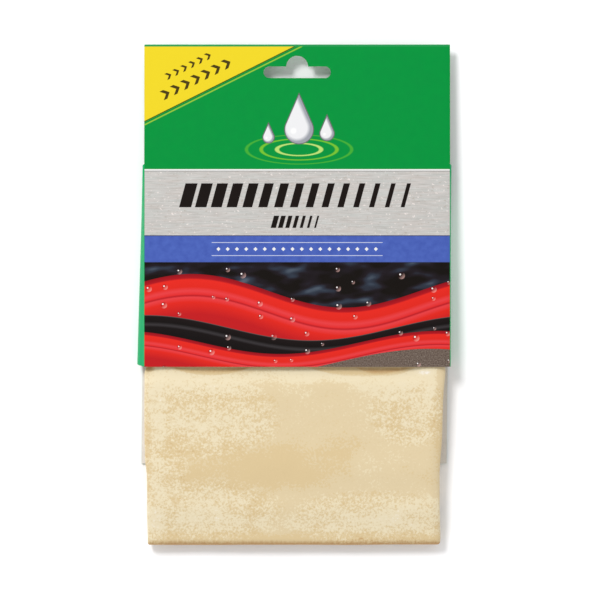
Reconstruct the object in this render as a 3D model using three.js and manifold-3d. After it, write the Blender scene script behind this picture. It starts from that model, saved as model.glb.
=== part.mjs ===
// Folded chamois leather in its printed card sleeve, lying on its back.
// Millimetres. +Z up from the surface it lies on, +Y towards the hanging header, +X to the right.
// Places along the pack are distances down from the top fold of the card, so y = -distance.

import * as THREE from 'three';
import Module from 'manifold-3d';

const wasm = await Module();
wasm.setup();

// Card board
const boardThickness = 0.45;
const cardWidth = 145.4;
const frontLength = 153.4;
const headerLength = 60;
const backLength = 199.4;
const backRampLength = 23;
const backSkew = 1.5;
const sharpestMitreShare = 0.5;

// Glue between the card's layers
const glueGap = 0.2;
const glueThickness = 0.15;
const headerGlueHeight = 9;
const headerGlueSideInset = 7;
const headerGlueTopInset = 7;
const headerGlueBottomInset = 5;
const headerGlueSlotMargin = 6;
const tabGlueWidth = 9;
const tabGlueEndInset = 10;
const tabGlueSideInset = 4;

// Hanging slot: a bar with round ends and a round dome over it
const slotWidth = 32;
const slotBarHeight = 5.5;
const slotHeight = 10.6;
const slotDomeDiameter = 10.4;
const slotTopInset = 5.4;
const slotCurveSegments = 8;
const cutOverrun = 2;

// Side tabs, which fold back from the front panel's edges and are glued behind the back panel
const tabStart = 56.5;
const tabDepth = 17;
const tabRootOverlap = 1.2;
const creaseEase = 0.15;
const leftBulgeAtHeader = 0.3;
const leftBulgeAtMouth = 2.5;
const rightBulge = 0.18;
const tabHeaderSlantShare = 1;
const tabMouthSlantShare = 0.21;
const tabRootThicknessShare = 0.6;
const rampSteps = 4;
const flatSteps = 6;
const wallSteps = 8;
const turnSteps = 3;

// Leather: one skin in three panels across, then in three leaves along the pack
const leatherThickness = 0.7;
const layerGap = 0.4;
const leatherWidth = 141.8;
const leatherShowing = 84.7;
const frontLeafSetback = 7;
const backLeafSetback = 20;
const squeezeShare = 0.8;
const freeEndSag = 0.95;
const footSag = 2.1;
const rawEdgeStep = 0.8;
const innerPanelStep = 2.2;
const panelsPerLeaf = 3;
const leaves = 3;
const leafSteps = 13;
const bendSteps = 8;
const wideFoldSteps = 5;
const tightFoldSteps = 4;
const innerWideSteps = 3;
const innerTightSteps = 2;

// How far each leaf's sides lie from the middle, as shares of half the width.
// The first number is the place along the leather that shows, as a share of it: 0 is the sleeve's mouth.
const frontLeafSideShares = [
  [-1, 1.01, 0.985],
  [0, 1.012, 0.99],
  [0.03, 1.024, 0.995],
  [0.18, 1.025, 0.98],
  [0.41, 1.024, 0.97],
  [0.52, 1.02, 0.96],
  [0.6, 1.008, 0.955],
  [0.77, 1.006, 0.956],
  [1, 1.003, 0.963],
];
const middleLeafSideShares = [
  [-1, 1, 0.975],
  [0, 1.004, 0.97],
  [0.5, 1.003, 0.957],
  [1, 0.997, 0.958],
];
const backLeafSideShares = [
  [-1, 1.005, 0.98],
  [0, 1.01, 0.978],
  [0.5, 0.998, 0.953],
  [1, 0.996, 0.95],
];

// Clearances
const runningGap = 0.3;
const mouthEase = 0.7;
const innerEndGap = 1.5;

// Points that agree to this many decimals are one point.
const mergeDecimals = 4;

// Heights in the pack
const tabTop = boardThickness;
const backUnderside = tabTop + glueGap;
const backTop = backUnderside + boardThickness;
const leafThickness = panelsPerLeaf * leatherThickness + (panelsPerLeaf - 1) * layerGap;
const leafPitch = leafThickness + layerGap;
const leatherStack = (leaves - 1) * leafPitch + leafThickness;
const leatherFloor = backTop + runningGap;
const mouthUnderside = leatherFloor + leatherStack + mouthEase;
const innerEndUnderside = leatherFloor + squeezeShare * leatherStack + runningGap;

// The leather ends short of the ramp, where the back panel leaves the header.
const rampEnd = headerLength + backRampLength;
const leatherInserted = frontLength - rampEnd - innerEndGap;

// The front panel and the header are one flat sheet, tilted by the leather's thicker end
const frontTilt = Math.asin((mouthUnderside - innerEndUnderside) / leatherInserted);
const mouthDistance = frontLength * Math.cos(frontTilt);
const leatherInnerEnd = mouthDistance - leatherInserted;
const leatherFoot = mouthDistance + leatherShowing;
const layerPitch = boardThickness + glueGap;

function frontUnderside(distance) {
  return mouthUnderside - (mouthDistance - distance) * Math.tan(frontTilt);
}

function frontMiddle(distance) {
  return frontUnderside(distance) + boardThickness / 2 / Math.cos(frontTilt);
}

function backMiddle(distance) {
  const headerBack = frontMiddle(distance) - layerPitch / Math.cos(frontTilt);
  const flatBack = backUnderside + boardThickness / 2;
  const ramp = (distance - headerLength) / backRampLength;
  if (ramp <= 0) return headerBack;
  if (ramp >= 1) return flatBack;
  const headerEnd = frontMiddle(headerLength) - layerPitch / Math.cos(frontTilt);
  return THREE.MathUtils.lerp(headerEnd, flatBack, ramp);
}

function backShift(distance) {
  return -backSkew * Math.max(0, (distance - headerLength) / (backLength - headerLength));
}

// Joins rings of points, each a closed loop of the same count, into one closed body.
function loft(rings, startOutline, endOutline) {
  const count = rings[0].length;
  const indices = [];
  for (let ring = 0; ring < rings.length - 1; ring += 1) {
    for (let point = 0; point < count; point += 1) {
      const next = (point + 1) % count;
      const here = ring * count;
      const there = here + count;
      indices.push(here + point, here + next, there + next);
      indices.push(here + point, there + next, there + point);
    }
  }
  addCap(indices, startOutline, 0, true);
  addCap(indices, endOutline, (rings.length - 1) * count, false);
  const geometry = new THREE.BufferGeometry();
  const positions = rings.flat().flatMap((point) => [point.x, point.y, point.z]);
  geometry.setAttribute('position', new THREE.Float32BufferAttribute(positions, 3));
  geometry.setIndex(indices);
  return facingOut(geometry);
}

function addCap(indices, outline, first, reversed) {
  const outlineTurnsLeft = THREE.ShapeUtils.area(outline) > 0;
  for (const [a, b, c] of THREE.ShapeUtils.triangulateShape(outline, [])) {
    const corners = [outline[a], outline[b], outline[c]];
    const turnsLeft = THREE.ShapeUtils.area(corners) > 0;
    const keep = (turnsLeft === outlineTurnsLeft) !== reversed;
    if (keep) indices.push(first + a, first + b, first + c);
    else indices.push(first + a, first + c, first + b);
  }
}

// Turns all faces over if the body is inside out.
function facingOut(geometry) {
  const position = geometry.getAttribute('position');
  const index = geometry.getIndex();
  const corners = [new THREE.Vector3(), new THREE.Vector3(), new THREE.Vector3()];
  let volume = 0;
  for (let i = 0; i < index.count; i += 3) {
    corners.forEach((corner, k) => corner.fromBufferAttribute(position, index.getX(i + k)));
    volume += corners[0].dot(corners[1].clone().cross(corners[2]));
  }
  if (volume < 0) geometry.setIndex(Array.from(index.array).reverse());
  return geometry;
}

// A strip of board along a path of {distance, height, shift}, as wide as the card.
function boardStrip(path) {
  const corners = path.map((point, i) => {
    const before = path[Math.max(i - 1, 0)];
    const after = path[Math.min(i + 1, path.length - 1)];
    return { point, across: mitre(before, point, after) };
  });
  const rings = corners.map(({ point, across }) => {
    const left = -cardWidth / 2 + point.shift;
    const right = cardWidth / 2 + point.shift;
    const outer = [-point.distance + across.x, point.height + across.y];
    const inner = [-point.distance - across.x, point.height - across.y];
    return [
      new THREE.Vector3(left, ...outer),
      new THREE.Vector3(right, ...outer),
      new THREE.Vector3(right, ...inner),
      new THREE.Vector3(left, ...inner),
    ];
  });
  const square = [[0, 1], [1, 1], [1, 0], [0, 0]].map(([x, y]) => new THREE.Vector2(x, y));
  return loft(rings, square, square);
}

// Half a board's thickness across the path, lengthened at a bend so that the board keeps its thickness.
function mitre(before, point, after) {
  const arriving = directionBetween(before, point);
  const leaving = directionBetween(point, after);
  if (arriving.length() === 0) arriving.copy(leaving);
  if (leaving.length() === 0) leaving.copy(arriving);
  const along = arriving.clone().add(leaving).normalize();
  const half = boardThickness / 2 / Math.max(along.dot(leaving), sharpestMitreShare);
  return new THREE.Vector2(-along.y, along.x).multiplyScalar(half);
}

function directionBetween(start, end) {
  return new THREE.Vector2(start.distance - end.distance, end.height - start.height).normalize();
}

// From the sleeve's mouth up the front, over the top fold and down the back.
function cardPath() {
  const foldRadius = layerPitch / 2;
  const foldCentre = foldRadius + boardThickness / 2;
  const path = [{ distance: mouthDistance, height: frontMiddle(mouthDistance), shift: 0 }];
  const foldHeight = frontMiddle(foldCentre) - foldRadius;
  for (let step = 0; step <= bendSteps; step += 1) {
    const turn = Math.PI * (step / bendSteps) - frontTilt;
    const distance = foldCentre - foldRadius * Math.sin(turn);
    path.push({ distance, height: foldHeight + foldRadius * Math.cos(turn), shift: 0 });
  }
  for (const distance of [headerLength, rampEnd, backLength]) {
    path.push({ distance, height: backMiddle(distance), shift: backShift(distance) });
  }
  return path;
}

// The section of a side tab at one distance, from inside the front panel's edge to the tab's free edge.
// Each point is {x, z, thicknessShare, reach}: reach is how far it lies from the crease along the board.
function tabSection(side, distance) {
  const bulge = side < 0 ? leftBulge(distance) : rightBulge;
  const frontEdge = side * cardWidth / 2;
  const turnRadius = boardThickness / 2 + creaseEase;
  const backEdge = frontEdge + backShift(distance) + side * turnRadius;
  const top = frontMiddle(distance);
  const bottom = backMiddle(distance) - layerPitch;
  const wallHeight = top - bottom;
  const rootShare = tabRootThicknessShare;
  const points = [
    { x: frontEdge - side * tabRootOverlap, z: top, thicknessShare: rootShare, reach: 0 },
    { x: frontEdge - side * boardThickness / 2, z: top, thicknessShare: rootShare, reach: 0 },
  ];
  for (let step = 1; step <= wallSteps; step += 1) {
    const share = step / wallSteps;
    const x = THREE.MathUtils.lerp(frontEdge, backEdge, share) + side * bulge * Math.sin(Math.PI * share);
    const z = THREE.MathUtils.lerp(top, bottom + turnRadius, share);
    points.push({ x, z, thicknessShare: 1, reach: top - z });
  }
  for (let step = 1; step <= turnSteps; step += 1) {
    const turn = Math.PI / 2 * (step / turnSteps);
    const x = backEdge - side * turnRadius * (1 - Math.cos(turn));
    const z = bottom + turnRadius * (1 - Math.sin(turn));
    points.push({ x, z, thicknessShare: 1, reach: wallHeight });
  }
  points.push({ x: backEdge - side * tabDepth, z: bottom, thicknessShare: 1, reach: wallHeight + tabDepth });
  return points;
}

function leftBulge(distance) {
  const share = THREE.MathUtils.clamp((distance - tabStart) / (mouthDistance - tabStart), 0, 1);
  return THREE.MathUtils.lerp(leftBulgeAtHeader, leftBulgeAtMouth, share);
}

// Both ends of a tab slant, so it gets shorter away from its crease.
// A row of points lies on the back panel's lower crease.
function tabRing(side, step) {
  const nearHeader = tabSection(side, tabStart);
  const nearMouth = tabSection(side, mouthDistance);
  const columns = nearHeader.map((point, j) => {
    const start = tabStart + point.reach * tabHeaderSlantShare + runningGap;
    const end = mouthDistance - nearMouth[j].reach * tabMouthSlantShare - runningGap;
    const distance = step < rampSteps
      ? THREE.MathUtils.lerp(start, rampEnd, step / rampSteps)
      : THREE.MathUtils.lerp(rampEnd, end, (step - rampSteps) / flatSteps);
    return { distance, ...tabSection(side, distance)[j] };
  });
  const offsets = columns.map((column, j) => {
    const before = columns[Math.max(j - 1, 0)];
    const after = columns[Math.min(j + 1, columns.length - 1)];
    const along = new THREE.Vector2(after.x - before.x, after.z - before.z).normalize();
    return new THREE.Vector2(-along.y, along.x).multiplyScalar(column.thicknessShare * boardThickness / 2);
  });
  const near = columns.map((c, j) => new THREE.Vector3(c.x + offsets[j].x, -c.distance, c.z + offsets[j].y));
  const far = columns.map((c, j) => new THREE.Vector3(c.x - offsets[j].x, -c.distance, c.z - offsets[j].y));
  return [...near, ...far.reverse()];
}

function sideTab(side) {
  const rings = [];
  for (let step = 0; step <= rampSteps + flatSteps; step += 1) rings.push(tabRing(side, step));
  const outlineOf = (ring) => ring.map((point) => new THREE.Vector2(point.x, point.z));
  return loft(rings, outlineOf(rings[0]), outlineOf(rings.at(-1)));
}

// The hanging slot's outline, from the bar's lower edge at zero up to the dome's top.
function slotShape() {
  const endRadius = slotBarHeight / 2;
  const domeRadius = slotDomeDiameter / 2;
  const endCentre = slotWidth / 2 - endRadius;
  const domeCentre = slotHeight - domeRadius;
  const domeStart = Math.asin((slotBarHeight - domeCentre) / domeRadius);
  const shape = new THREE.Shape();
  shape.absarc(endCentre, endRadius, endRadius, -Math.PI / 2, Math.PI / 2, false);
  shape.absarc(0, domeCentre, domeRadius, domeStart, Math.PI - domeStart, false);
  shape.absarc(-endCentre, endRadius, endRadius, Math.PI / 2, 3 * Math.PI / 2, false);
  shape.closePath();
  return shape;
}

function slotCutter() {
  const depth = 2 * layerPitch + 2 * cutOverrun;
  const settings = { depth, bevelEnabled: false, curveSegments: slotCurveSegments };
  const geometry = new THREE.ExtrudeGeometry(slotShape(), settings);
  const lowerEdge = slotTopInset + slotHeight;
  geometry.translate(0, 0, -depth / 2);
  geometry.rotateX(-frontTilt);
  geometry.translate(0, -lowerEdge, frontMiddle(lowerEdge) - layerPitch / 2);
  return geometry;
}

function solidOf(geometry) {
  const vertices = [];
  const indices = [];
  const numberOf = new Map();
  const position = geometry.getAttribute('position');
  const order = geometry.getIndex();
  const total = order ? order.count : position.count;
  for (let i = 0; i < total; i += 1) {
    const at = order ? order.getX(i) : i;
    const point = [position.getX(at), position.getY(at), position.getZ(at)];
    const key = point.map((value) => value.toFixed(mergeDecimals)).join(' ');
    if (!numberOf.has(key)) {
      numberOf.set(key, vertices.length / 3);
      vertices.push(...point);
    }
    indices.push(numberOf.get(key));
  }
  const mesh = new wasm.Mesh({
    numProp: 3,
    vertProperties: new Float32Array(vertices),
    triVerts: new Uint32Array(indices),
  });
  return new wasm.Manifold(mesh);
}

function geometryOf(solid) {
  const mesh = solid.getMesh();
  const geometry = new THREE.BufferGeometry();
  geometry.setAttribute('position', new THREE.BufferAttribute(new Float32Array(mesh.vertProperties), 3));
  geometry.setIndex(new THREE.BufferAttribute(new Uint32Array(mesh.triVerts), 1));
  return geometry;
}

function cardSleeve() {
  const folded = solidOf(boardStrip(cardPath()));
  const closed = folded.add(solidOf(sideTab(-1))).add(solidOf(sideTab(1)));
  return geometryOf(closed.subtract(solidOf(slotCutter())));
}

// How far a leaf's sides lie from the middle at one distance, read from its table of shares.
function sidesAt(table, distance) {
  const reach = distance < mouthDistance ? leatherInserted : leatherShowing;
  const place = THREE.MathUtils.clamp((distance - mouthDistance) / reach, -1, 1);
  const next = table.findIndex(([start]) => start >= place);
  const [endPlace, endLeft, endRight] = table[Math.max(next, 1)];
  const [startPlace, startLeft, startRight] = table[Math.max(next, 1) - 1];
  const share = (place - startPlace) / (endPlace - startPlace);
  return {
    left: -leatherWidth / 2 * THREE.MathUtils.lerp(startLeft, endLeft, share),
    right: leatherWidth / 2 * THREE.MathUtils.lerp(startRight, endRight, share),
  };
}

function squeezeAt(distance) {
  const share = THREE.MathUtils.smoothstep(distance, leatherInnerEnd, mouthDistance);
  return THREE.MathUtils.lerp(squeezeShare, 1, share);
}

// How far the leather sags off the back panel's lower edge.
// The front and middle leaves sag again at the foot, past the back leaf's end.
function sagAt(distance, leaf) {
  const freeLength = leatherFoot - backLength;
  const offBack = THREE.MathUtils.smoothstep(distance, backLength, backLength + freeLength / 2);
  const backLeafEnd = leatherFoot - backLeafSetback;
  const offBackLeaf = THREE.MathUtils.smoothstep(distance, backLeafEnd, leatherFoot - leafPitch);
  return freeEndSag * offBack + (leaf > 0 ? footSag * offBackLeaf : 0);
}

// The middle height of a leaf: 0 is the back one, 1 the middle one and 2 the front one.
function leafHeight(distance, leaf) {
  const above = leafThickness / 2 + leaf * leafPitch;
  return leatherFloor + squeezeAt(distance) * above - sagAt(distance, leaf);
}

function leafStations(leaf, table, start, end) {
  const stations = [];
  for (let step = 0; step <= leafSteps; step += 1) {
    const distance = THREE.MathUtils.lerp(start, end, step / leafSteps);
    stations.push({
      distance,
      height: leafHeight(distance, leaf),
      squeeze: squeezeAt(distance),
      ...sidesAt(table, distance),
    });
  }
  return stations;
}

// A half turn between two leaves, outwards to the foot or to the inner end.
function bendStations(from, to, outward) {
  const stations = [];
  const radius = (from.height - to.height) / 2;
  for (let step = 1; step < bendSteps; step += 1) {
    const share = step / bendSteps;
    const turn = Math.PI * share;
    stations.push({
      distance: from.distance + outward * radius * Math.sin(turn),
      height: from.height - radius * (1 - Math.cos(turn)),
      squeeze: from.squeeze,
      left: THREE.MathUtils.lerp(from.left, to.left, share),
      right: THREE.MathUtils.lerp(from.right, to.right, share),
    });
  }
  return stations;
}

function leatherStations() {
  const footBend = leatherFoot - leafThickness - layerGap / 2;
  const innerBend = leatherInnerEnd + squeezeShare * (leafThickness + layerGap / 2);
  const front = leafStations(2, frontLeafSideShares, leatherInnerEnd + frontLeafSetback, footBend);
  const middle = leafStations(1, middleLeafSideShares, footBend, innerBend);
  const back = leafStations(0, backLeafSideShares, innerBend, leatherFoot - backLeafSetback);
  return [
    ...front,
    ...bendStations(front.at(-1), middle[0], 1),
    ...middle,
    ...bendStations(middle.at(-1), back[0], -1),
    ...back,
  ];
}

// The skin folded in three across: the right third lies under the middle one,
// and the left third between the two.
// Each point is {side, inset, lift}, with inset from that side of the leaf.
function foldedOutline() {
  const top = leafThickness / 2;
  const wide = { side: 1, reach: top, lift: 0 };
  const tight = { side: -1, reach: leatherThickness + layerGap / 2, lift: (leatherThickness + layerGap) / 2 };
  const fold = ({ side, reach, lift }, radius, steps, downwards) => {
    const points = [];
    for (let step = 0; step <= steps; step += 1) {
      const turn = (downwards ? 1 : -1) * (Math.PI / 2 - Math.PI * (step / steps));
      points.push({ side, inset: reach - radius * Math.cos(turn), lift: lift + radius * Math.sin(turn) });
    }
    return points;
  };
  return [
    { side: -1, inset: rawEdgeStep, lift: -top },
    ...fold(wide, top, wideFoldSteps, false),
    ...fold(tight, tight.reach, tightFoldSteps, true),
    { side: 1, inset: innerPanelStep, lift: -leatherThickness / 2 },
    { side: 1, inset: innerPanelStep, lift: leatherThickness / 2 },
    ...fold(tight, tight.reach - leatherThickness, innerTightSteps, false),
    ...fold(wide, top - leatherThickness, innerWideSteps, true),
    { side: -1, inset: rawEdgeStep, lift: leatherThickness - top },
  ];
}

function foldedLeather() {
  const outline = foldedOutline();
  const stations = leatherStations();
  const rings = stations.map((station, i) => {
    const before = stations[Math.max(i - 1, 0)];
    const after = stations[Math.min(i + 1, stations.length - 1)];
    const along = directionBetween(before, after);
    const across = new THREE.Vector2(along.y, -along.x);
    return outline.map(({ side, inset, lift }) => {
      const x = side < 0 ? station.left + inset : station.right - inset;
      const y = -station.distance + across.x * lift * station.squeeze;
      return new THREE.Vector3(x, y, station.height + across.y * lift * station.squeeze);
    });
  });
  const flat = outline.map(({ side, inset, lift }) => {
    return new THREE.Vector2(side * (leatherWidth / 2 - inset), lift);
  });
  return loft(rings, flat, flat);
}

// One glue line between the header's two layers, lying in the header's own slope.
function headerGlue(name, x, distance, width) {
  const mesh = new THREE.Mesh(new THREE.BoxGeometry(width, headerGlueHeight, glueThickness), glueMaterial());
  mesh.name = name;
  mesh.position.set(x, -distance, frontMiddle(distance) - layerPitch / 2);
  mesh.rotation.x = -frontTilt;
  return mesh;
}

function headerGlueLines() {
  const outerEdge = cardWidth / 2 - headerGlueSideInset;
  const innerEdge = slotWidth / 2 + headerGlueSlotMargin;
  const sideMiddle = (outerEdge + innerEdge) / 2;
  const sideWidth = outerEdge - innerEdge;
  const upper = headerGlueTopInset + headerGlueHeight / 2;
  const lower = tabStart - headerGlueBottomInset - headerGlueHeight / 2;
  return [
    headerGlue('header_glue_left', -sideMiddle, upper, sideWidth),
    headerGlue('header_glue_right', sideMiddle, upper, sideWidth),
    headerGlue('header_glue_lower', 0, lower, 2 * outerEdge),
  ];
}

// One glue line between a side tab and the back panel above it.
function tabGlue(name, side) {
  const start = rampEnd + tabGlueEndInset;
  const end = mouthDistance - tabGlueEndInset;
  const geometry = new THREE.BoxGeometry(tabGlueWidth, end - start, glueThickness);
  const mesh = new THREE.Mesh(geometry, glueMaterial());
  mesh.name = name;
  const middle = cardWidth / 2 - backSkew - tabGlueSideInset - tabGlueWidth / 2;
  mesh.position.set(side * middle, -(start + end) / 2, tabTop + glueGap / 2);
  return mesh;
}

function cardMaterial() {
  return new THREE.MeshStandardMaterial({ color: 0x009840, roughness: 0.45, metalness: 0 });
}

function leatherMaterial() {
  return new THREE.MeshStandardMaterial({ color: 0xe6d2a8, roughness: 0.95, metalness: 0 });
}

function glueMaterial() {
  return new THREE.MeshStandardMaterial({ color: 0xe8e2cc, roughness: 0.6, metalness: 0 });
}

function named(name, geometry, material) {
  const mesh = new THREE.Mesh(geometry, material);
  mesh.name = name;
  return mesh;
}

const pack = new THREE.Group();
pack.add(
  named('card_sleeve', cardSleeve(), cardMaterial()),
  named('chamois_leather', foldedLeather(), leatherMaterial()),
  ...headerGlueLines(),
  tabGlue('left_tab_glue', -1),
  tabGlue('right_tab_glue', 1),
);

// The origin is the middle of the pack's outline, on the surface that it lies on.
const box = new THREE.Box3().setFromObject(pack, true);
const middle = box.getCenter(new THREE.Vector3());
const origin = new THREE.Group();
pack.position.set(-middle.x, -middle.y, -box.min.z);
origin.add(pack);

export default origin;
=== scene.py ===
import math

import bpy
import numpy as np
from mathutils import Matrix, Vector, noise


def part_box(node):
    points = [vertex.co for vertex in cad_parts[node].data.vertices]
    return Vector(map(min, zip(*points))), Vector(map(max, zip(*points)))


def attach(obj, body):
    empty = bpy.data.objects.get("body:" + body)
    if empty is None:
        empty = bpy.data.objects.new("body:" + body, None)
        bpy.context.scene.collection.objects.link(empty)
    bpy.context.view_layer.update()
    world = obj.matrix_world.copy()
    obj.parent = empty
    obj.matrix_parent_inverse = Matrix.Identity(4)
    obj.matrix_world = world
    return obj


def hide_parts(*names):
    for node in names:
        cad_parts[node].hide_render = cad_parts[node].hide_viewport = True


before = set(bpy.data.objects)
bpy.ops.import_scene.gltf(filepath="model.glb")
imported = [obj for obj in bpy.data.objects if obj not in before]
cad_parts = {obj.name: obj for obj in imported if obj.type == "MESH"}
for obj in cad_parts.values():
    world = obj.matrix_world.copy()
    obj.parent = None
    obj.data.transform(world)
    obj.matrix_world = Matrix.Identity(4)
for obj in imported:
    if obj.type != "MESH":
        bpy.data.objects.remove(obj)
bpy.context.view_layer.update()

# Folded chamois leather in its printed card sleeve, lying on its back.
# Lengths are millimetres until a mesh is made. Places along the pack are distances down from
# the top fold of the card, and places across it are measured from the card's middle.

MM = 0.001


def corners_mm(node):
    """The lowest and the highest corner of a frame node's box."""
    low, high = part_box(node)
    return low / MM, high / MM


sleeve_low, sleeve_high = corners_mm("card_sleeve")
leather_low = corners_mm("chamois_leather")[0]
glue_low, glue_high = corners_mm("header_glue_lower")

# Where the card lies in the frame
CARD_MIDDLE = (glue_low.x + glue_high.x) / 2
TOP_FOLD = sleeve_high.y
MOUTH_TOP = sleeve_high.z

# Card board, as in the frame's sleeve
BOARD = 0.45
LAYER_PITCH = 0.65
CARD_WIDTH = 145.4
HALF_CARD = CARD_WIDTH / 2
FRONT_LENGTH = 153.31
FRONT_TILT = math.radians(1.913)
FRONT_BOW = 0.3
HEADER_LENGTH = 60
RAMP_END = 83
BACK_LENGTH = TOP_FOLD - sleeve_low.y
BACK_MIDDLE = 0.875
BACK_SKEW = 1.5
CREASE_ROUNDING = 2.5
FOLD_RADIUS = LAYER_PITCH / 2
FOLD_CENTRE = FOLD_RADIUS + BOARD / 2

# Hanging slot
SLOT_WIDTH = 32
SLOT_BAR = 5.5
SLOT_HEIGHT = 10.6
SLOT_DOME = 10.4
SLOT_TOP = 5.4
SLOT_CUT_DEPTH = 6

# Side tabs
TAB_START = 56.5
TAB_DEPTH = 17
CREASE_RADIUS = 0.4
TURN_RADIUS = 0.375
LEFT_BULGE_AT_HEADER = 0.3
LEFT_BULGE_AT_MOUTH = 2.5
RIGHT_BULGE = 0.18
TAB_HEADER_SLANT = 1
TAB_MOUTH_SLANT = 0.21

# Leather, as in the frame's folded solid
SKIN = 0.7
LAYER_GAP = 0.4
LEATHER_WIDTH = 141.8
LEATHER_FLOOR = 1.4
LEATHER_INNER_END = 84.41
LEATHER_FOOT = TOP_FOLD - leather_low.y
FRONT_LEAF_SETBACK = 7
BACK_LEAF_SETBACK = 20
SQUEEZE = 0.8
FREE_END_SAG = 0.95
FOOT_SAG = 2.1
RAW_EDGE_STEP = 0.8
INNER_PANEL_STEP = 2.2
LEAF = 3 * SKIN + 2 * LAYER_GAP
LEAF_PITCH = LEAF + LAYER_GAP
STACK = 2 * LEAF_PITCH + LEAF


# Shared helpers

def ramp(start, end, value):
    """0 before the start, 1 past the end, and a smooth rise between them."""
    share = np.clip((value - start) / (end - start), 0, 1)
    return share * share * (3 - 2 * share)


def lerp(start, end, share):
    return start + (end - start) * share


def shares(count):
    """Even shares of a run, from its first step to its end."""
    return np.linspace(0, 1, count + 1)[1:]


def noise_at(*coordinates):
    """Smooth noise between about -1 and 1 at each point, from three arrays of coordinates."""
    points = np.stack(np.broadcast_arrays(*coordinates), axis=-1)
    values = [noise.noise(point) for point in points.reshape(-1, 3).tolist()]
    return np.array(values).reshape(points.shape[:-1])


def to_frame(across, distance, height):
    """From the card's own places to the frame, still in millimetres."""
    return across + CARD_MIDDLE, TOP_FOLD - distance, height


def make_object(name, points_mm, faces, materials):
    mesh = bpy.data.meshes.new(name)
    mesh.from_pydata((np.array(points_mm) * MM).tolist(), [], faces)
    for material in materials:
        mesh.materials.append(material)
    piece = bpy.data.objects.new(name, mesh)
    bpy.context.scene.collection.objects.link(piece)
    return piece


def apply_modifiers(piece):
    """Replaces the piece's mesh by what its modifiers make of it."""
    bpy.context.view_layer.update()
    graph = bpy.context.evaluated_depsgraph_get()
    mesh = bpy.data.meshes.new_from_object(piece.evaluated_get(graph))
    piece.modifiers.clear()
    piece.data = mesh


def thicken(piece, thickness):
    """Gives a surface its thickness: inner faces take the second material, and rims the third."""
    solidify = piece.modifiers.new("thickness", "SOLIDIFY")
    solidify.thickness = thickness * MM
    solidify.offset = 0
    solidify.use_even_offset = True
    solidify.material_offset = 1
    solidify.material_offset_rim = 2
    apply_modifiers(piece)


def shade(piece, sharp_angle):
    piece.data.shade_smooth()
    piece.data.set_sharp_from_angle(angle=math.radians(sharp_angle))


# Formulas in a material's nodes

# How sharp the print's edges are. A mask has this blur where no other is given.
PRINT_EDGE = 0.1


class Term:
    """A number that varies over a surface, so that masks and patterns read as formulas."""

    def __init__(self, tree, socket):
        self.tree = tree
        self.socket = socket

    def math(self, operation, *others, clamp=False):
        node = self.tree.nodes.new("ShaderNodeMath")
        node.operation = operation
        node.use_clamp = clamp
        for socket, value in zip(node.inputs, (self, *others)):
            connect(self.tree, value, socket)
        return Term(self.tree, node.outputs[0])

    def __add__(self, other):
        return self.math("ADD", other)

    __radd__ = __add__

    def __sub__(self, other):
        return self.math("SUBTRACT", other)

    def __rsub__(self, other):
        return self.math("MULTIPLY_ADD", -1, other)

    def __mul__(self, other):
        return self.math("MULTIPLY", other)

    __rmul__ = __mul__

    def __truediv__(self, other):
        return self.math("DIVIDE", other)

    def __abs__(self):
        return self.math("ABSOLUTE")

    def sin(self):
        return self.math("SINE")

    def sqrt(self):
        return self.math("SQRT")

    def wrapped(self, period):
        """The distance from the nearest multiple of the period, with its sign."""
        return self.math("WRAP", period / 2, -period / 2)

    def lower(self, other):
        return self.math("MINIMUM", other)

    def higher(self, other):
        return self.math("MAXIMUM", other)

    def clamped(self):
        """The number, held between 0 and 1."""
        return self.math("ADD", 0, clamp=True)

    def below(self, edge, blur=PRINT_EDGE):
        """1 under the edge and 0 over it, with a slope as wide as the blur between them."""
        return ((edge - self) / blur).math("ADD", 0.5, clamp=True)

    def above(self, edge, blur=PRINT_EDGE):
        return ((self - edge) / blur).math("ADD", 0.5, clamp=True)

    def between(self, start, end, blur=PRINT_EDGE):
        return self.above(start, blur) * self.below(end, blur)


def connect(tree, value, socket):
    if isinstance(value, Term):
        tree.links.new(value.socket, socket)
    else:
        socket.default_value = value


def split(tree, socket):
    """The three numbers of a vector or a colour."""
    node = tree.nodes.new("ShaderNodeSeparateXYZ")
    tree.links.new(socket, node.inputs[0])
    return [Term(tree, output) for output in node.outputs]


def length(across, along):
    """How far a place is from 0, 0."""
    return (across * across + along * along).sqrt()


# How much brighter than white paper in a picture the studio light makes a level white surface
STUDIO_LEVEL = 1.26


def surface(red, green, blue):
    """What a shader takes for a level surface that is to look like a picture's 0 to 255 colour."""
    def channel(value):
        share = value / 255
        light = share / 12.92 if share <= 0.04045 else ((share + 0.055) / 1.055) ** 2.4
        return light / STUDIO_LEVEL
    return (channel(red), channel(green), channel(blue), 1)


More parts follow.
